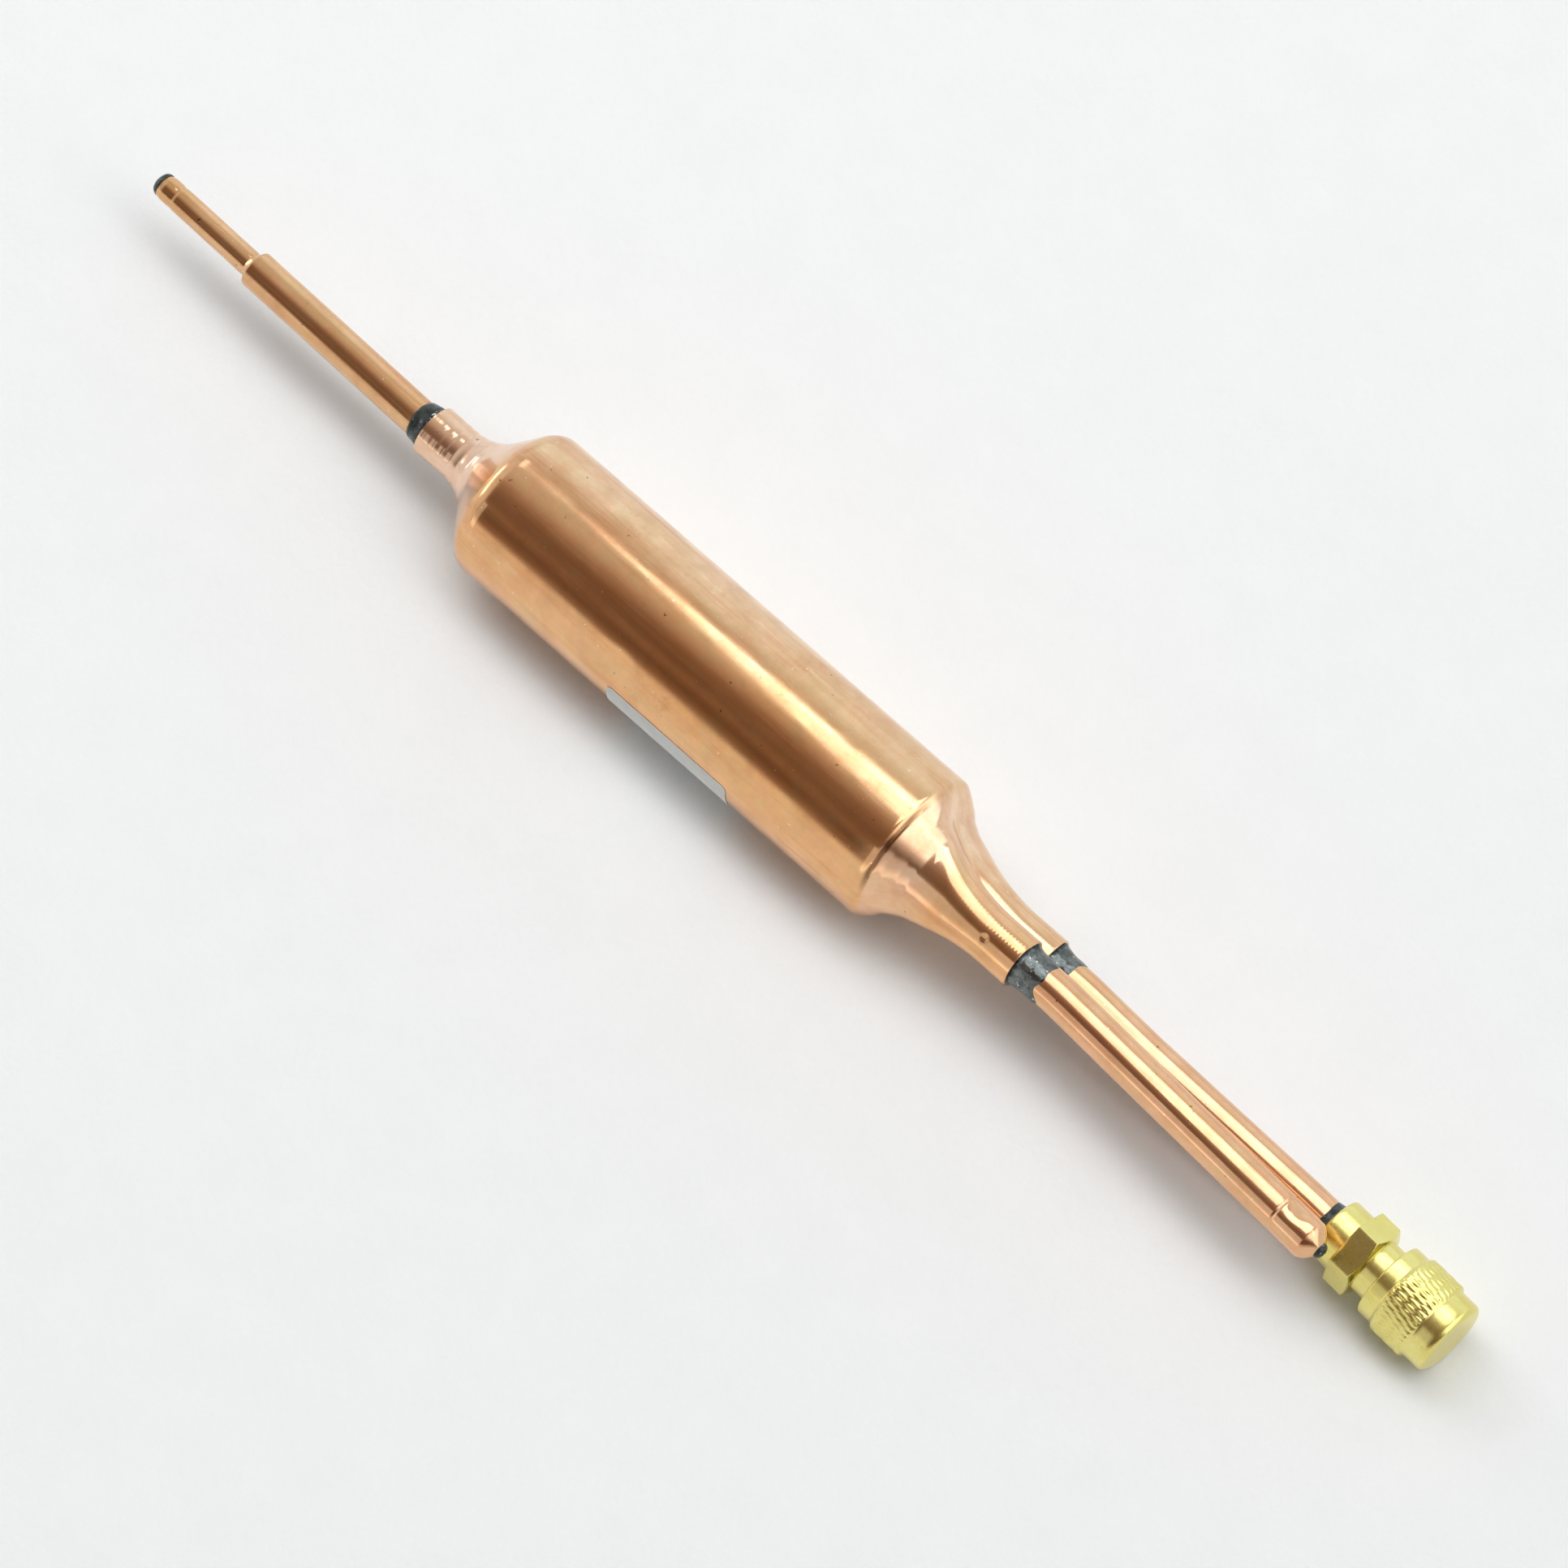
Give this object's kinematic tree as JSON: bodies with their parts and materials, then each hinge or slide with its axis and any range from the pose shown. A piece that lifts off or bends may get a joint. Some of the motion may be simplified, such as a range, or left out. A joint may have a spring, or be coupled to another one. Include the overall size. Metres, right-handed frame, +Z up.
{
  "type": "refrigerant filter drier",
  "caption": "Spun-copper filter drier with a stepped sealed outlet stub and a twin inlet neck holding a sealed stub and a process tube with a capped brass access valve.",
  "frame": {"origin": "on the drum's axis, halfway between its shoulders", "axes": "+X along the drum towards the access valve, +Z up with the drum lying down, label on the -Y side"},
  "size_m": [0.2653, 0.0255, 0.0254],
  "materials": {
    "copper": "satin spun copper",
    "braze": "dull brazing filler",
    "brass": "turned brass",
    "rubber": "matte",
    "ptfe": "matte",
    "steel": "plain steel",
    "fibre": "felted fibre",
    "desiccant": "matte beads",
    "paper": "coated paper"
  },
  "bodies": {
    "drier": {"drier_shell": "copper", "outlet_stub": "copper", "outlet_neck_braze": "braze", "outlet_tip_braze": "braze", "inlet_stub": "copper", "inlet_neck_braze": "braze", "inlet_tip_braze": "braze", "process_tube": "copper", "process_neck_braze": "braze", "valve_braze": "braze", "valve_body": "brass", "core_plug": "brass", "core_barrel": "brass", "core_seal": "ptfe", "core_spring": "steel", "inlet_screen": "steel", "inlet_mesh": "steel", "outlet_screen": "steel", "outlet_mesh": "steel", "outlet_pad": "fibre", "desiccant_bed": "desiccant", "label": "paper"},
    "valve_cap": {"valve_cap": "brass"},
    "cap_gasket": {"cap_gasket": "rubber"},
    "core_pin": {"core_pin": "brass", "core_cup": "brass", "core_washer": "rubber"}
  },
  "joints": [
    {"name": "cap_travel", "type": "slide", "parent": "drier", "child": "cap_gasket", "axis": [0.9986, -0.0384, -0.0377], "range_m": [0, 0.01016]},
    {"name": "cap_turn", "type": "hinge", "parent": "cap_gasket", "child": "valve_cap", "pos_m": [0.14537, 0.00022, -0.00599], "axis": [0.9986, -0.0384, -0.0377], "range_deg": [0, 2880]},
    {"name": "core_press", "type": "slide", "parent": "drier", "child": "core_pin", "axis": [-0.9986, 0.0384, 0.0377], "range_m": [0, 0.0015], "stiffness_N_per_m": 3000, "springref_m": -0.002, "deforming": ["core_spring"]}
  ],
  "couplings": [
    {"joint": "cap_travel", "follows": "cap_turn", "m_per_rad": 0.00020213}
  ]
}
